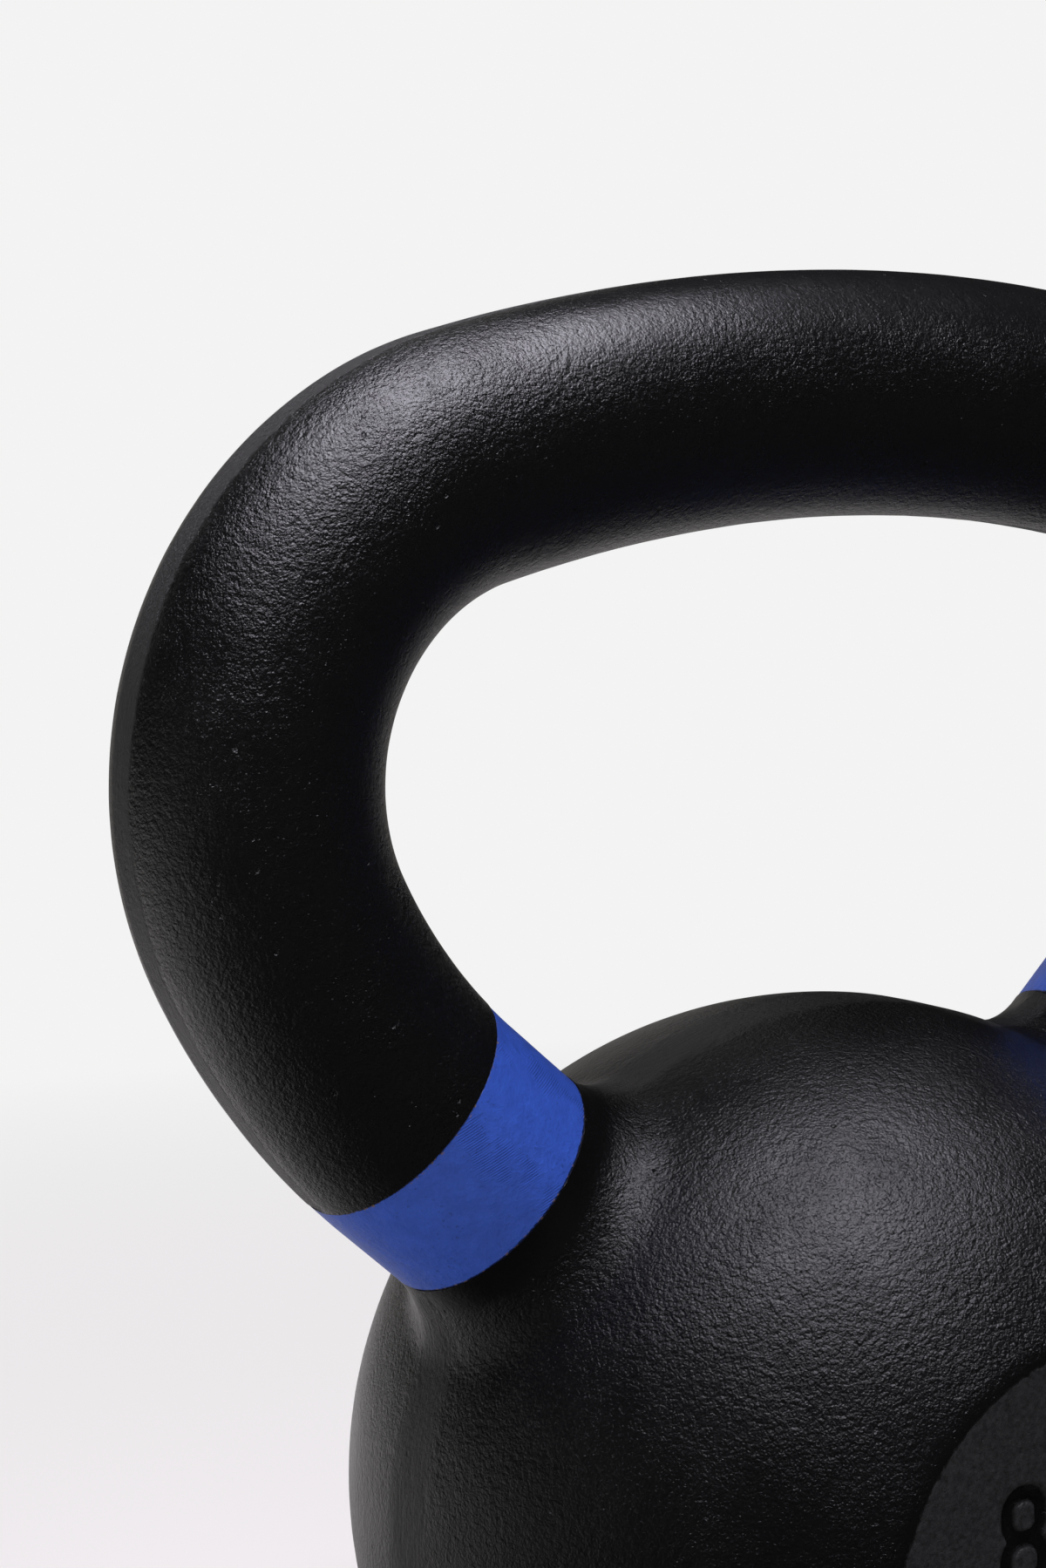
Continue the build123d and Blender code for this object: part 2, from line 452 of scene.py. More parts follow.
def ragged_edge(outline, points, edge):
    """Shifts points near a band's edge along the horn, so that coat and band meet in the same uneven line."""
    along, axis, across = outline.horn_place(points)
    out = np.linalg.norm(across, axis=1)
    spots = across / np.maximum(out, MM)[:, None] * 12 + edge / MM
    near = np.clip(1 - np.abs(along - edge) / RAGGED_REACH, 0, 1) * (out < outline.horn + MM)
    chosen = near > 0
    shift = np.zeros(len(points))
    shift[chosen] = RAGGED_DEPTH * (wave(spots[chosen], 1) + 0.6 * wave(spots[chosen], 0.4))
    return points + axis * (shift * near)[:, None]


def seam_depth(across_seam, half, bend):
    """Depth of the flat strip that is dressed along the parting line, on a surface of a given radius."""
    return np.maximum(half ** 2 - across_seam ** 2, 0) / (2 * bend)


def relief(points, finish, dents):
    """Depth of the casting's broad waves and, where asked for, shallow dents."""
    broad = 0.5 + 0.5 * wave(points, 11 * MM)
    small = 0.5 + 0.5 * wave(points, 3.2 * MM, 7.3)
    depth = finish.wave_depth * (0.65 * broad + 0.35 * small)
    return depth + finish.dent_depth * smooth_step(wave(points, 4 * MM, 3.1), 0.2, 0.6) * dents


# ---------------------------------------------------------------- ball coat

def ball_side(outline, growth, voxel):
    """One side of the ball's skin, open at the base and at the lower edge of each band."""
    bm = bmesh.new()
    bmesh.ops.create_uvsphere(bm, u_segments=128, v_segments=96, radius=outline.ball + growth)
    for vertex in bm.verts:
        vertex.co.y = max(-outline.face - growth, min(outline.face + growth, vertex.co.y))
    depth = outline.band_start + 5 * MM
    for side in (-1, 1):
        axis = Vector((side * outline.axis.x, 0, outline.axis.z))
        turned = axis.to_track_quat("Z", "Y").to_matrix().to_4x4()
        place_horn = Matrix.Translation(axis * depth / 2) @ turned
        radius = outline.horn + growth
        bmesh.ops.create_cone(
            bm, cap_ends=True, segments=96, radius1=radius, radius2=radius, depth=depth, matrix=place_horn
        )
    remeshed(bm, voxel)
    place(bm, outline.onto_ball(coordinates(bm), growth))
    every_axis = {"use_axis_x": True, "use_axis_y": True, "use_axis_z": True}
    bmesh.ops.smooth_vert(bm, verts=bm.verts[:], factor=0.5, **every_axis)
    place(bm, outline.onto_ball(coordinates(bm), growth))
    cut(bm, (0, 0, -outline.drop), (0, 0, -1))
    for side in (-1, 1):
        axis = Vector((side * outline.axis.x, 0, outline.axis.z))
        cut(bm, axis * outline.band_start, axis)
    rims = [v for v in bm.verts if v.is_boundary or any(e.other_vert(v).is_boundary for e in v.link_edges)]
    bmesh.ops.remove_doubles(bm, verts=rims, dist=0.2 * voxel)
    return bm


def sink_marking(bm, outline, marking, growth, cuts, widening):
    """Divides the front flat under the marking and sinks the strokes into it."""
    def under_marking(point):
        return (
            point.y < -outline.face - growth + TOUCH
            and abs(point.x) < marking.half_width
            and abs(point.z) < marking.half_height
        )

    edges = [e for e in bm.edges if under_marking(e.verts[0].co) and under_marking(e.verts[1].co)]
    bmesh.ops.subdivide_edges(bm, edges=edges, cuts=cuts, use_grid_fill=True)
    points = coordinates(bm)
    chosen = points[:, 1] < -outline.face - growth + TOUCH
    points[chosen, 1] += marking.depth(points[chosen], widening)
    return points


class KETTLEBELL_OT_ball_coat(bpy.types.Operator):
    """Coat of the ball, its flats and the horns' roots, with the sunk marking"""

    bl_idname = "kettlebell.ball_coat"
    bl_label = "Ball coat"

    def execute(self, context):
        sizes, finish = context.scene.bell_sizes, context.scene.casting_finish
        outline, marking = Outline(sizes), Marking(context.scene.mark_sizes)
        lining = LINING_GAP - sizes.coat_thickness
        inner = ball_side(outline, lining, 3 * MM)
        place(inner, sink_marking(inner, outline, marking, lining, 5, -lining))

        bm = ball_side(outline, 0, finish.mesh_size)
        points = sink_marking(bm, outline, marking, 0, 2, 0)
        place(bm, points)
        normals = np.array([v.normal for v in bm.verts])
        along, axis, across = outline.horn_place(points)
        out = np.linalg.norm(across, axis=1)
        at_root = smooth_step(along, 0.8 * outline.ball, outline.fillet_start) * (out < outline.ball / 2)
        bend = outline.ball * (1 - at_root) + outline.horn * at_root
        half_seam = finish.ball_seam * (1 - at_root) + finish.handle_seam * at_root
        across_seam = points[:, 1] - finish.seam_middle
        seam_place = np.minimum(np.abs(across_seam) / half_seam, 3)
        depth = seam_depth(across_seam, half_seam, bend) * 0.7
        depth += relief(points, finish, 0.0)
        in_fillet = smooth_step(along, outline.ball - 5 * MM, outline.ball - MM) * (out < outline.ball / 2)
        in_fillet *= 1 - smooth_step(along, outline.fillet_start - 2.5 * MM, outline.fillet_start)
        ridge = smooth_step(1 - np.abs(across_seam - MM) / (5 * MM), 0, 1) * in_fillet
        near_seam = smooth_step(1 - np.abs(across_seam) / (9 * MM), 0, 0.5)
        wrinkles = wave(points, 2.6 * MM, 4.4) * near_seam * in_fillet
        depth -= finish.root_ridge * ridge * (0.8 + 0.2 * wave(points, 4 * MM)) + 0.06 * MM * wrinkles
        base_rim = points[:, 2] < -outline.drop + TOUCH
        depth[base_rim] = 0
        points = points - normals * depth[:, None]
        place(bm, ragged_edge(outline, points, outline.band_start))
        mark(bm, "smooth_patch", smooth_step(along, 61 * MM, 64 * MM) * (out < outline.ball / 2))
        mark(bm, "seam_place", seam_place)

        def same_rim(point):
            return "base" if point.z < 0 else "left" if point.x < 0 else "right"

        join_inner(bm, inner, same_rim)
        coat = powder_coat(
            finish, "ball", outline,
            gloss=1.43, roughness=0.26, facet_depth=0.3, seam_blur=0.9, seam_rough=0.06,
        )
        finished(bm, "ball_coat_skin", coat, "ball_coat", outline.centre)
        return {"FINISHED"}


# ---------------------------------------------------------------- handle coat and bands

def handle_tube(outline, growth, around, spacing, divisions=0, reach=None):
    """The handle as an open tube from the right horn's root, whole or a short reach past its straight."""
    bm = bmesh.new()
    start = outline.band_start - MM
    turned = outline.axis.to_track_quat("Z", "Y").to_matrix().to_4x4()
    place_ring = Matrix.Translation(outline.axis * start) @ turned
    ring = bmesh.ops.create_circle(
        bm, cap_ends=False, segments=around, radius=outline.horn + growth, matrix=place_ring
    )["verts"]
    last = ring + list({e for v in ring for e in v.link_edges})

    def extend(steps, **motion):
        made = bmesh.ops.spin(bm, geom=last, steps=steps, use_merge=False, use_duplicate=False, **motion)
        return made["geom_last"]

    def straight(direction):
        steps = math.ceil((outline.straight_end - start) / spacing)
        step = direction * ((outline.straight_end - start) / steps)
        return extend(steps, cent=(0, 0, 0), axis=(0, 1, 0), angle=0.0, dvec=step)

    def arc(side, centre, radius, angle):
        steps = math.ceil(radius * angle / spacing)
        pivot = (side * centre.x, 0, centre.y)
        return extend(steps, cent=pivot, axis=(0, 1, 0), angle=-angle, dvec=(0, 0, 0))

    last = straight(outline.axis)
    if reach is not None:
        centre, radius, first, end = outline.arcs[-1]
        last = arc(1, centre, radius, reach / radius)
    else:
        for centre, radius, first, end in reversed(outline.arcs):
            last = arc(1, centre, radius, end - first)
        for centre, radius, first, end in outline.arcs:
            last = arc(-1, centre, radius, end - first)
        last = straight(Vector((outline.axis.x, 0, -outline.axis.z)))
    if divisions:
        bmesh.ops.subdivide_edges(bm, edges=bm.edges[:], cuts=divisions, use_grid_fill=True)
    bmesh.ops.recalc_face_normals(bm, faces=bm.faces[:])
    place(bm, outline.onto_handle(coordinates(bm), growth))
    face = bm.faces[:][0]
    run, middle, offset = outline.handle_place(np.array([face.calc_center_median()]))
    if face.normal.dot(Vector(offset[0])) < 0:
        bmesh.ops.reverse_faces(bm, faces=bm.faces[:])
    return bm


class KETTLEBELL_OT_grip_coat(bpy.types.Operator):
    """Coat of the handle between the two colour bands"""

    bl_idname = "kettlebell.grip_coat"
    bl_label = "Grip coat"

    def execute(self, context):
        sizes, finish = context.scene.bell_sizes, context.scene.casting_finish
        outline = Outline(sizes)

        def between_bands(growth, around, spacing, divisions):
            tube = handle_tube(outline, growth, around, spacing, divisions)
            for side in (-1, 1):
                axis = Vector((side * outline.axis.x, 0, outline.axis.z))
                cut_below(tube, outline, axis)
            return tube

        inner = between_bands(LINING_GAP - sizes.coat_thickness, 32, 5 * MM, 0)
        bm = between_bands(0, 42, 2.36 * MM, 3)
        points = coordinates(bm)
        run, middle, offset = outline.handle_place(points)
        outward = offset / np.linalg.norm(offset, axis=1)[:, None]
        radius = outline.tube_radius(run)
        under = smooth_step(-outward[:, 2], -0.3, 0.5) * (run < 0.4 * outline.half_run)
        across_seam = points[:, 1] - finish.seam_middle
        depth = 0.75 * seam_depth(across_seam, finish.handle_seam, radius)
        depth += relief(points, finish, 0.2 * under)
        seam_place = np.minimum(np.abs(across_seam) / finish.handle_seam, 3)
        points = points - outward * depth[:, None]
        place(bm, ragged_edge(outline, points, outline.band_end))
        on_top = smooth_step(outward[:, 2], 0.2, 0.8) * (1 - smooth_step(run, 28 * MM, 52 * MM))
        along, axis, across = outline.horn_place(points)
        near_band = 1 - smooth_step(along - outline.band_end, 0.5 * MM, 4 * MM)
        near_band *= run > outline.half_run / 2
        mark(bm, "smooth_patch", np.maximum(on_top, 0.25 * near_band))
        mark(bm, "seam_place", seam_place)

        def same_rim(point):
            return "left" if point.x < 0 else "right"

        join_inner(bm, inner, same_rim)
        coat = powder_coat(
            finish, "grip", outline,
            gloss=1.62, roughness=0.24, facet_depth=0.6, seam_blur=0.4, seam_rough=0.2,
        )
        finished(bm, "grip_coat_skin", coat, "grip_coat", outline.centre)
        return {"FINISHED"}


def cut_below(tube, outline, axis):
    """Removes the root end of the tube on one side, up to the band's upper edge."""
    near = [f for f in tube.faces if f.calc_center_median().x * axis.x > 0]
    geometry = list({v for f in near for v in f.verts}) + list({e for f in near for e in f.edges}) + near
    bmesh.ops.bisect_plane(
        tube, geom=geometry, dist=1e-7, plane_co=axis * outline.band_end, plane_no=axis, clear_inner=True
    )


class KETTLEBELL_OT_colour_bands(bpy.types.Operator):
    """Colour bands round the roots of the two horns"""

    bl_idname = "kettlebell.colour_bands"
    bl_label = "Colour bands"

    def execute(self, context):
        sizes, finish = context.scene.bell_sizes, context.scene.casting_finish
        outline = Outline(sizes)
        material = band_paint(finish, outline)

        def band_side(growth, around, spacing, divisions):
            tube = handle_tube(outline, growth, around, spacing, divisions, reach=8 * MM)
            cut(tube, outline.axis * outline.band_start, -outline.axis)
            cut(tube, outline.axis * outline.band_end, outline.axis)
            return tube

        outer_growth = sizes.band_thickness - sizes.coat_thickness
        for name, side in (("right_colour_band", 1), ("left_colour_band", -1)):
            bm = band_side(outer_growth, 76, 1.28 * MM, 3)
            inner = band_side(LINING_GAP - sizes.coat_thickness, 96, 2 * MM, 0)
            points = coordinates(bm)
            along, axis, across = outline.horn_place(points)
            outward = across / np.linalg.norm(across, axis=1)[:, None]
            seen = points * np.array((side, 1, 1))
            broad, small = 0.5 + 0.5 * wave(seen, 6 * MM), 0.5 + 0.5 * wave(seen, 1.6 * MM)
            depth = 0.035 * MM * broad + 0.02 * MM * small
            points = points - outward * depth[:, None]
            seen = ragged_edge(outline, points * np.array((side, 1, 1)), outline.band_start)
            seen = ragged_edge(outline, seen, outline.band_end)
            place(bm, seen * np.array((side, 1, 1)))

            def same_rim(point):
                along = point.dot(outline.axis)
                return "upper" if along > (outline.band_start + outline.band_end) / 2 else "lower"

            join_inner(bm, inner, same_rim)
            if side < 0:
                bmesh.ops.scale(bm, vec=(-1, 1, 1), verts=bm.verts[:])
                bmesh.ops.reverse_faces(bm, faces=bm.faces[:])
            finished(bm, name + "_skin", material, name, outline.centre)
        return {"FINISHED"}


# ---------------------------------------------------------------- finishes

RIB_PITCH = 0.34 * MM
RIB_ZONES = (0.0, -0.85)
LATHE_PITCH = 0.5 * MM
RUST_COLOUR = (0.16, 0.075, 0.035)
GRAPHITE_COLOUR = (0.05, 0.05, 0.05)
SPECK_COLOUR = (0.25, 0.16, 0.1)


class Value:
    """A shader socket that can be used in sums."""

    def __init__(self, finish, socket):
        self.finish = finish
        self.socket = socket

    def __add__(self, other):
        return self.finish.math("ADD", self, other)

    def __radd__(self, other):
        return self.finish.math("ADD", other, self)

    def __sub__(self, other):
        return self.finish.math("SUBTRACT", self, other)

    def __rsub__(self, other):
        return self.finish.math("SUBTRACT", other, self)

    def __mul__(self, other):
        return self.finish.math("MULTIPLY", self, other)

    def __rmul__(self, other):
        return self.finish.math("MULTIPLY", other, self)

    def __abs__(self):
        return self.finish.math("ABSOLUTE", self)


class Finish:
    """A material under construction."""

    def __init__(self, name):
        self.material = bpy.data.materials.new(name)
        self.material.use_nodes = True
        self.tree = self.material.node_tree
        self.tree.nodes.clear()

    def node(self, kind, settings=None, inputs=None, output=0):
        made = self.tree.nodes.new("ShaderNode" + kind)
        for name, value in (settings or {}).items():
            setattr(made, name, value)
        for name, value in (inputs or {}).items():
            if isinstance(value, Value):
                self.tree.links.new(value.socket, made.inputs[name])
            else:
                made.inputs[name].default_value = value
        return Value(self, made.outputs[output])

    def math(self, operation, *values):
        return self.node("Math", {"operation": operation}, dict(enumerate(values)))

    def vector(self, operation, *values, output="Vector"):
        return self.node("VectorMath", {"operation": operation}, dict(enumerate(values)), output)

    def coordinates(self):
        return self.node("TexCoord", output="Object")

    def part(self, vector, axis):
        return self.node("SeparateXYZ", inputs={0: vector}, output=axis)

    def noise(self, vector, pitch, detail=2.0, roughness=0.5):
        inputs = {"Vector": vector, "Scale": 1 / pitch, "Detail": detail, "Roughness": roughness}
        return self.node("TexNoise", inputs=inputs)

    def cells(self, vector, pitch):
        """Distance from the middle of the nearest cell, in pitches."""
        return self.node("TexVoronoi", inputs={"Vector": vector, "Scale": 1 / pitch}, output="Distance")

    def ramp(self, value, low, high):
        """Nought below low, one above high and even between."""
        inputs = {"Value": value, "From Min": low, "From Max": high}
        return self.node("MapRange", {"clamp": True}, inputs)

    def mix_colours(self, factor, first, second):
        settings = {"data_type": "RGBA", "clamp_factor": True}
        return self.node("Mix", settings, {0: factor, 6: first, 7: second}, output=2)

    def finish_with(self, **inputs):
        surface = self.node("BsdfPrincipled", inputs=inputs)
        self.node_output(surface)
        return self.material

    def node_output(self, surface):
        out = self.tree.nodes.new("ShaderNodeOutputMaterial")
        self.tree.links.new(surface.socket, out.inputs["Surface"])


def rgba(colour, gain=1.0):
    return (*(channel * gain for channel in colour), 1)


def powder_coat(finish, part, outline, gloss, roughness, facet_depth, seam_blur, seam_rough):
    """Black powder coat: pebbled grain, smoother patches, pits, a dressed parting line and rimmed flats. The
    flats and the streaks on the dressed strip are painted lighter, a painted reflection of the studio's
    light.
    """
    f = Finish(part + "_powder_coat")
    where = f.coordinates()
    centred = f.vector("SUBTRACT", where, tuple(outline.centre))
    smooth_patch = f.node("Attribute", {"attribute_name": "smooth_patch"}, output="Fac")
    seam_place = f.node("Attribute", {"attribute_name": "seam_place"}, output="Fac")
    wander = (f.noise(where, 2.5 * MM, 3) - 0.5) * seam_blur
    on_seam = 1 - f.ramp(seam_place + wander, 1 - seam_blur / 2, 1 + seam_blur / 6)
    facet = f.math("MAXIMUM", 1 - seam_place * seam_place, 0.0)
    depth_in = abs(f.part(centred, "Y"))
    out = f.vector("LENGTH", f.vector("MULTIPLY", centred, (1, 0, 1)), output="Value")
    ragged_out = out + (f.noise(where, 0.8 * MM, 3) - 0.5) * (0.8 * MM)
    facing = f.ramp(depth_in, outline.face - 0.7 * MM, outline.face - 0.25 * MM)
    on_flat = facing * (1 - f.ramp(ragged_out, outline.flat - 0.15 * MM, outline.flat + 0.15 * MM))

    patches = f.ramp(f.noise(where, 9 * MM, 3), 0.35, 0.62)
    grain_share = (0.7 + 0.3 * patches) * (1 - 0.7 * smooth_patch)
    grain_share = grain_share * (1 - 0.3 * on_seam) * (1 - 0.35 * on_flat)
    bend_inputs = {"Vector": where, "Scale": 1 / (1.5 * finish.grain_pitch)}
    bend = f.node("TexNoise", inputs=bend_inputs, output="Color")
    bent = f.vector("MULTIPLY_ADD", bend, (0.7 * finish.grain_pitch,) * 3, where)
    cells = f.cells(bent, finish.grain_pitch)
    pebbles = 1 - cells * cells * 1.3
    fine = f.noise(where, 0.6 * finish.grain_pitch, 3, 0.6)
    swell = f.noise(where, 2.2 * finish.grain_pitch, 2)
    dots = 1 - f.ramp(f.cells(bent, 2.2 * MM), 0.03, 0.06)
    pits = 1 - f.ramp(f.cells(bent, 4.5 * MM) + (fine - 0.5) * 0.05, 0.04, 0.075)
    streaks = f.noise(f.vector("MULTIPLY", where, (0.12, 1.0, 0.12)), 0.45 * MM, 5, 0.75)
    crumbs = f.ramp(f.noise(where, 0.75 * finish.grain_pitch, 1), 0.62, 0.85)
    height = (pebbles * 0.45 + fine * 0.8 + swell * 1.8 + crumbs * 0.6) * grain_share - dots - pits * 1.6
    height = height + (streaks * 2.6 + swell * 0.8) * on_seam - facet * facet_depth - on_flat * 1.3
    bump = f.node("Bump", inputs={"Strength": 1.0, "Distance": finish.grain_depth, "Height": height})
    tint = f.noise(where, 4 * MM, 3)
    colour = f.mix_colours(tint, rgba(finish.coat_colour, 0.8), rgba(finish.coat_colour, 1.2))
    # The flats are painted lighter than the coat, a painted reflection of the light they face, with their
    # grain painted as lighter and darker spots of painted glints.
    flat_grain_sheen = f.ramp(f.noise(where, 0.6 * MM, 3, 0.6), 0.3, 0.7)
    flat_painted_sheen = f.mix_colours(flat_grain_sheen, rgba(finish.coat_colour, 4.5), rgba(finish.coat_colour, 10.5))
    colour = f.mix_colours(on_flat, colour, flat_painted_sheen)
    # The dressed strip is painted up to three times lighter in streaks, a painted sheen of the bright
    # backdrop that the strip mirrors.
    dressed = f.mix_colours(streaks, rgba(finish.coat_colour), rgba(finish.coat_colour, 3))
    colour = f.mix_colours(on_seam, colour, dressed)
    rough = roughness + 0.06 * f.noise(where, 2.5 * MM, 3) + on_seam * seam_rough + on_flat * 0.16
    return f.finish_with(**{"Base Color": colour, "Roughness": rough, "Normal": bump, "IOR": gloss})


def band_paint(finish, outline):
    """Satin paint of the colour bands, with a rib imprint, mottling and a thin dark edge."""
    f = Finish("blue_band_paint")
    where = f.coordinates()
    centred = f.vector("SUBTRACT", where, tuple(outline.centre))
    side = abs(f.part(centred, "X"))
    height_in = f.part(centred, "Z")
    along = side * outline.axis.x + height_in * outline.axis.z
    outer = side * outline.axis.z - height_in * outline.axis.x
    turn_round = f.math("ARCTAN2", outer, f.part(centred, "Y") * -1)
    ragged = (f.noise(where, 0.5 * MM, 3) - 0.5) * (0.45 * MM)
    to_edge = abs(along + ragged - (outline.band_start + outline.band_end) / 2)
    half_width = (outline.band_end - outline.band_start) / 2
    edge = f.ramp(to_edge, half_width - 0.22 * MM, half_width - 0.1 * MM)
    near_edge = f.ramp(to_edge, half_width - 0.45 * MM, half_width - 0.2 * MM)
    specks = f.ramp(f.noise(where, 0.5 * MM, 1), 0.6, 0.66) * near_edge
    dirt = f.ramp(f.noise(where, 0.4 * MM, 0), 0.72, 0.77) * f.ramp(f.noise(where, 5 * MM, 1), 0.48, 0.6)
    mottle = f.noise(where, 2.2 * MM, 5, 0.65)
    clouds = f.noise(where, 8 * MM, 2)
    rib_run = along - turn_round * (0.45 * outline.horn)
    ribs = f.math("SINE", rib_run * (2 * math.pi / RIB_PITCH))
    rib_zone = 0
    for middle in RIB_ZONES:
        wander = (f.noise(where, 4 * MM, 2) - 0.5) * 0.3
        rib_zone = rib_zone + (1 - f.ramp(abs(turn_round + wander - middle), 0.09, 0.17))
    rib_zone = rib_zone * f.ramp(f.noise(where, 3.5 * MM, 2), 0.4, 0.55)
    shades = rgba(finish.band_colour, 0.84), rgba(finish.band_colour, 1.14)
    colour = f.mix_colours(f.ramp(mottle, 0.3, 0.7), *shades)
    colour = f.mix_colours(clouds * 0.6, colour, rgba(finish.band_colour, 0.8))
    colour = f.mix_colours(ribs * rib_zone * 0.45, colour, rgba(finish.band_colour, 0.5))
    colour = f.mix_colours(dirt * 0.3, colour, rgba(finish.coat_colour, 3))
    colour = f.mix_colours(edge * 0.9, colour, rgba(finish.coat_colour))
    colour = f.mix_colours(specks * 0.8, colour, rgba(SPECK_COLOUR))
    height = ribs * rib_zone * 0.2 + f.noise(where, 0.8 * MM, 3, 0.6) * 1.4 + mottle * 1.6 - edge * 0.8
    bump = f.node("Bump", inputs={"Strength": 1.0, "Distance": 0.09 * MM, "Height": height})
    rough = 0.38 + 0.12 * mottle
    return f.finish_with(**{"Base Color": colour, "Roughness": rough, "Normal": bump, "IOR": 1.5})


def faced_iron(finish):
    """Bare cast iron, faced on a lathe: fine rings, grey graphite specks and a little rust."""
    f = Finish("faced_iron")
    where = f.coordinates()
    radius = f.vector("LENGTH", f.vector("MULTIPLY", where, (1, 1, 0)), output="Value")
    rings = f.math("SINE", radius * (2 * math.pi / LATHE_PITCH))
    wear = f.noise(where, 7 * MM, 5, 0.6)
    rust = f.ramp(f.noise(where, 3 * MM, 4, 0.7), 0.6, 0.75)
    graphite = f.ramp(f.noise(where, 0.35 * MM, 2), 0.6, 0.7)
    colour = f.mix_colours(wear, rgba(finish.iron_colour, 0.75), rgba(finish.iron_colour, 1.2))
    colour = f.mix_colours(graphite * 0.6, colour, rgba(GRAPHITE_COLOUR))
    colour = f.mix_colours(rust * 0.5, colour, rgba(RUST_COLOUR))
    height = rings * 0.4 + f.noise(where, 0.2 * MM, 2) - graphite * 0.6
    bump = f.node("Bump", inputs={"Strength": 0.8, "Distance": 0.03 * MM, "Height": height})
    rough = 0.34 + 0.2 * wear + rust * 0.3
    metal = 1 - rust * 0.7
    return f.finish_with(**{"Base Color": colour, "Roughness": rough, "Metallic": metal, "Normal": bump})


class KETTLEBELL_OT_casting(bpy.types.Operator):
    """Bare iron of the casting, which shows at the faced base"""

    bl_idname = "kettlebell.casting"
    bl_label = "Iron casting"

    def execute(self, context):
        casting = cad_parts["iron_casting"]
        material = faced_iron(context.scene.casting_finish)
        if not casting.material_slots:
            casting.data.materials.append(material)
        for slot in casting.material_slots:
            slot.material = material
        return {"FINISHED"}


# ---------------------------------------------------------------- stage

THROWN_WAY = (-0.35, 0.94, 0)
THROWN_NEAR = (1.0, 0.96, 0.97)
THROWN_FAR = (1.0, 0.96, 0.92)
FAR_SHARE = 0.3
LIT_PAPER = (0.8, 0.785, 0.73)
DARK_PAPER = (0.03, 0.03, 0.03)
FLOOR_RADIUS = 1.9
BACKDROP_SCALE = (0.8, 0.55, 1)
BACKDROP_PLACE = (-0.8, 1.6, 0.55)
BACKDROP_TURN = math.radians(-31)
OVERHEAD_SIDE = 0.85
OVERHEAD_PLACE = (-0.05, -0.18, 1.2)
OVERHEAD_TILT = (math.radians(-9), math.radians(-3), 0)
OVERHEAD_COLOUR = (1.0, 0.97, 1.09)
FRONT_SIDE = 1.2
FRONT_PLACE = (-1.0, -1.2, 0.5)
FRONT_WAY = Vector((-1.0, -1.2, 0.4))


def paper_material(studio):
    """White paper, evenly bright to the eye. The bell mirrors it bright behind and dark in front."""
    f = Finish("paper")
    where = f.coordinates()
    reach = f.vector("LENGTH", where, output="Value")
    level = rgba((studio.paper,) * 3)
    glow = f.node("Emission", inputs={"Color": level, "Strength": 1.0})
    lit = f.node("BsdfDiffuse", inputs={"Color": rgba(LIT_PAPER)})
    lift = f.node("Emission", inputs={"Color": level, "Strength": studio.lift})
    near = f.node("AddShader", inputs={0: lit, 1: lift})
    seen = f.node("MixShader", inputs={0: f.ramp(reach, 0.12, 0.5), 1: near, 2: glow})
    behind = f.vector("DOT_PRODUCT", where, THROWN_WAY, output="Value")
    beside = f.node("Emission", inputs={"Color": rgba(THROWN_NEAR, studio.thrown), "Strength": 1.0})
    far_level = rgba(THROWN_FAR, FAR_SHARE * studio.thrown)
    distant = f.node("Emission", inputs={"Color": far_level, "Strength": 1.0})
    thrown = f.node("MixShader", inputs={
        0: f.ramp(behind, 0.03, 0.2),
        1: f.node("BsdfDiffuse", inputs={"Color": rgba(DARK_PAPER)}),
        2: f.node("MixShader", inputs={0: f.ramp(reach, 0.25, 0.6), 1: beside, 2: distant}),
    })
    mirrored = f.node("LightPath", output="Is Glossy Ray")
    mirrored = mirrored + f.node("LightPath", output="Is Diffuse Ray") * 0.6
    f.node_output(f.node("MixShader", inputs={0: mirrored, 1: seen, 2: thrown}))
    return f.material


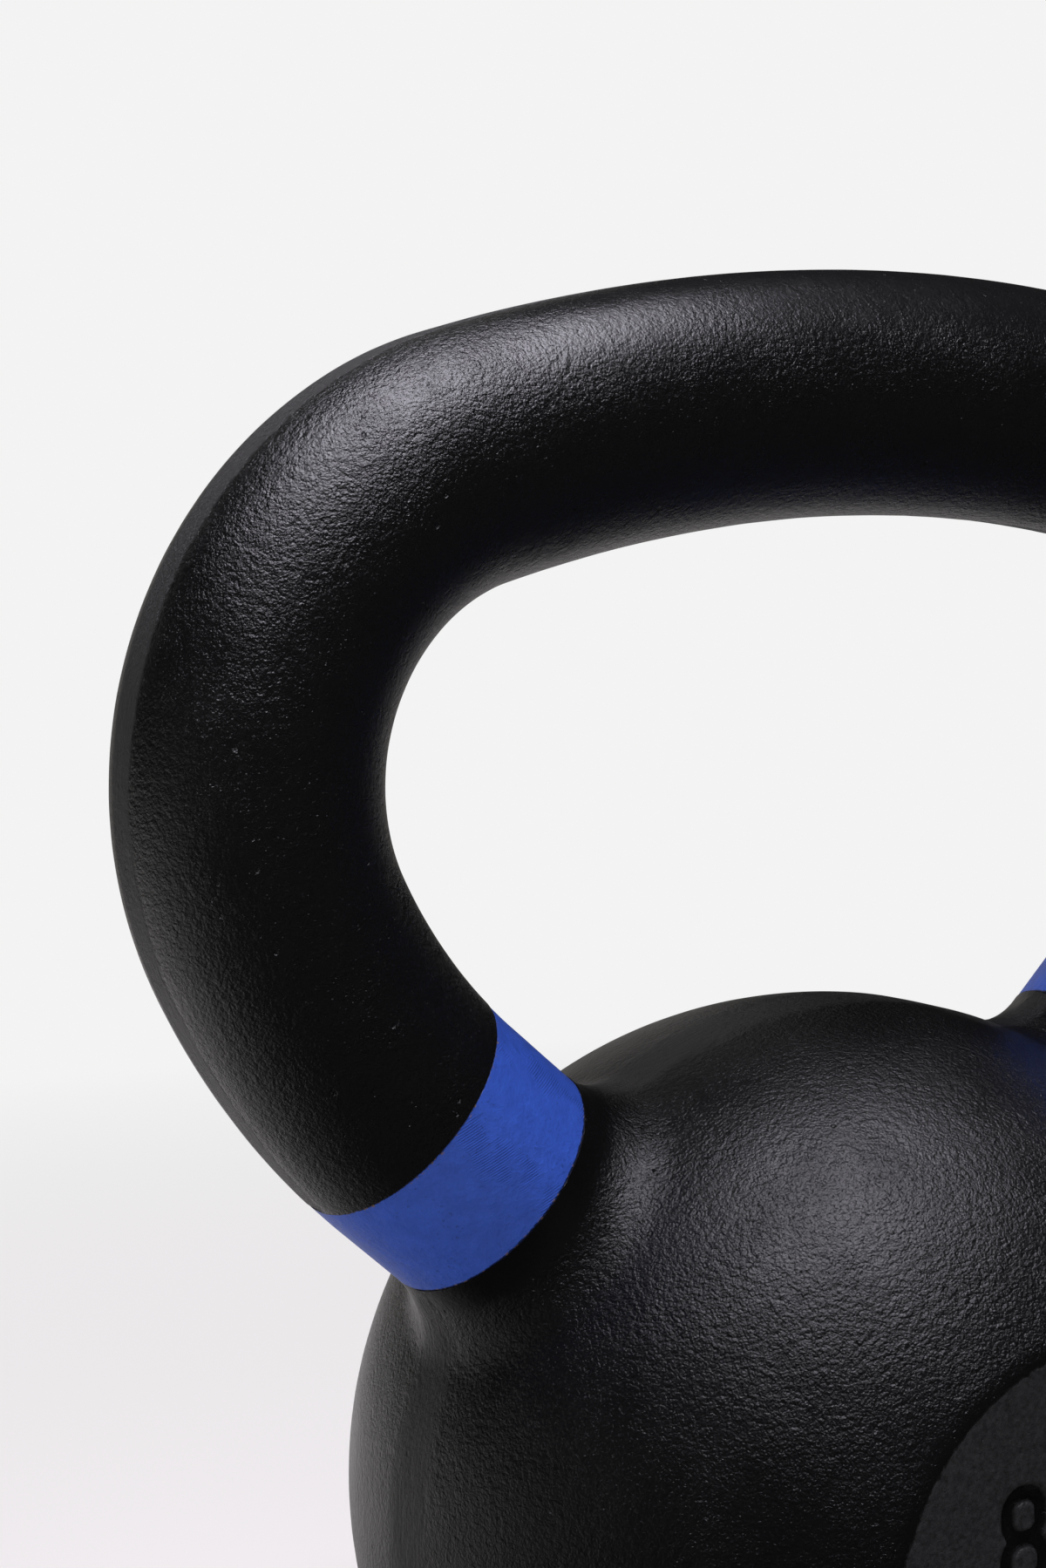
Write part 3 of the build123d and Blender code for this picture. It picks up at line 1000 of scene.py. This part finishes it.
class KETTLEBELL_OT_stage(bpy.types.Operator):
    """Paper sweep, light panels, room and camera"""

    bl_idname = "kettlebell.stage"
    bl_label = "Studio"

    def execute(self, context):
        studio = context.scene.studio_settings
        self.paper(studio)
        overhead = self.panel("overhead_panel", OVERHEAD_SIDE, studio.overhead, OVERHEAD_PLACE, OVERHEAD_TILT)
        overhead.data.color = OVERHEAD_COLOUR
        front_turn = FRONT_WAY.to_track_quat("Z", "Y").to_euler()
        front = self.panel("front_panel", FRONT_SIDE, studio.fill, FRONT_PLACE, front_turn)
        front.visible_glossy = False
        front.visible_camera = False
        self.room(studio)
        self.camera(context.scene, studio)
        return {"FINISHED"}

    def paper(self, studio):
        """Floor of the sweep, and its upright part behind the bell as the camera sees it."""
        material = paper_material(studio)
        floor = bmesh.new()
        bmesh.ops.create_circle(floor, cap_ends=True, segments=96, radius=FLOOR_RADIUS)
        back = bmesh.new()
        bmesh.ops.create_grid(back, x_segments=1, y_segments=1, size=1.0)
        bmesh.ops.scale(back, vec=BACKDROP_SCALE, verts=back.verts[:])
        bmesh.ops.rotate(back, matrix=Matrix.Rotation(math.radians(90), 3, "X"), verts=back.verts[:])
        bmesh.ops.translate(back, vec=BACKDROP_PLACE, verts=back.verts[:])
        bmesh.ops.rotate(back, matrix=Matrix.Rotation(BACKDROP_TURN, 3, "Z"), verts=back.verts[:])
        for name, bm in (("paper_floor", floor), ("paper_backdrop", back)):
            mesh = bpy.data.meshes.new(name)
            bm.to_mesh(mesh)
            bm.free()
            mesh.materials.append(material)
            sheet = bpy.data.objects.new(name, mesh)
            bpy.context.collection.objects.link(sheet)

    def panel(self, name, side, brightness, middle, turned):
        """Square light panel of a given brightness."""
        light = bpy.data.lights.new(name, "AREA")
        light.shape = "SQUARE"
        light.size = side
        light.energy = brightness * math.pi * side * side
        lamp = bpy.data.objects.new(name, light)
        lamp.location = middle
        lamp.rotation_euler = turned
        bpy.context.collection.objects.link(lamp)
        return lamp

    def room(self, studio):
        """Unlit room, which the camera sees as more white paper."""
        world = bpy.data.worlds.new("room")
        world.use_nodes = True
        nodes, links = world.node_tree.nodes, world.node_tree.links
        nodes.clear()
        path = nodes.new("ShaderNodeLightPath")
        seen = nodes.new("ShaderNodeBackground")
        seen.inputs["Color"].default_value = rgba((studio.paper,) * 3)
        dark = nodes.new("ShaderNodeBackground")
        dark.inputs["Color"].default_value = rgba((studio.room,) * 3)
        mix = nodes.new("ShaderNodeMixShader")
        out = nodes.new("ShaderNodeOutputWorld")
        links.new(path.outputs["Is Camera Ray"], mix.inputs[0])
        links.new(dark.outputs[0], mix.inputs[1])
        links.new(seen.outputs[0], mix.inputs[2])
        links.new(mix.outputs[0], out.inputs["Surface"])
        bpy.context.scene.world = world

    def camera(self, scene, studio):
        """Camera in front and to the left, level with the grip and tilted down at the bell."""
        stand = Vector(studio.camera_place)
        turned = (Vector(studio.camera_aim) - stand).to_track_quat("-Z", "Y").to_matrix().to_4x4()
        rolled = Matrix.Rotation(studio.camera_roll, 4, "Z")
        lens = bpy.data.cameras.new("camera")
        lens.lens = studio.lens
        lens.clip_start, lens.clip_end = 0.01, 20
        camera = bpy.data.objects.new("camera", lens)
        camera.matrix_world = Matrix.Translation(stand) @ turned @ rolled
        bpy.context.collection.objects.link(camera)
        scene.camera = camera
        scene.view_settings.view_transform = "Standard"


# ---------------------------------------------------------------- panel and registration

class KETTLEBELL_PT_panel(bpy.types.Panel):
    """Lists the steps and sizes of the kettlebell."""

    bl_label = "Kettlebell"
    bl_idname = "KETTLEBELL_PT_panel"
    bl_space_type = "VIEW_3D"
    bl_region_type = "UI"
    bl_category = "Kettlebell"

    def draw(self, context):
        for operator in OPERATORS:
            self.layout.operator(operator.bl_idname)
        for settings, group in SETTINGS.items():
            box = self.layout.box()
            for name in group.__annotations__:
                box.prop(getattr(context.scene, settings), name)


SETTINGS = {
    "bell_sizes": BellSizes,
    "mark_sizes": MarkSizes,
    "casting_finish": CastingFinish,
    "studio_settings": StudioSettings,
}
OPERATORS = (
    KETTLEBELL_OT_casting,
    KETTLEBELL_OT_ball_coat,
    KETTLEBELL_OT_grip_coat,
    KETTLEBELL_OT_colour_bands,
    KETTLEBELL_OT_stage,
)


def register():
    for made in (*SETTINGS.values(), *OPERATORS, KETTLEBELL_PT_panel):
        bpy.utils.register_class(made)
    for name, group in SETTINGS.items():
        setattr(bpy.types.Scene, name, PointerProperty(type=group))


def unregister():
    for name in SETTINGS:
        delattr(bpy.types.Scene, name)
    for made in (KETTLEBELL_PT_panel, *reversed(OPERATORS), *reversed(SETTINGS.values())):
        bpy.utils.unregister_class(made)


def main():
    register()
    bpy.ops.kettlebell.casting()
    bpy.ops.kettlebell.ball_coat()
    bpy.ops.kettlebell.grip_coat()
    bpy.ops.kettlebell.colour_bands()
    bpy.ops.kettlebell.stage()


if __name__ == "__main__":
    main()
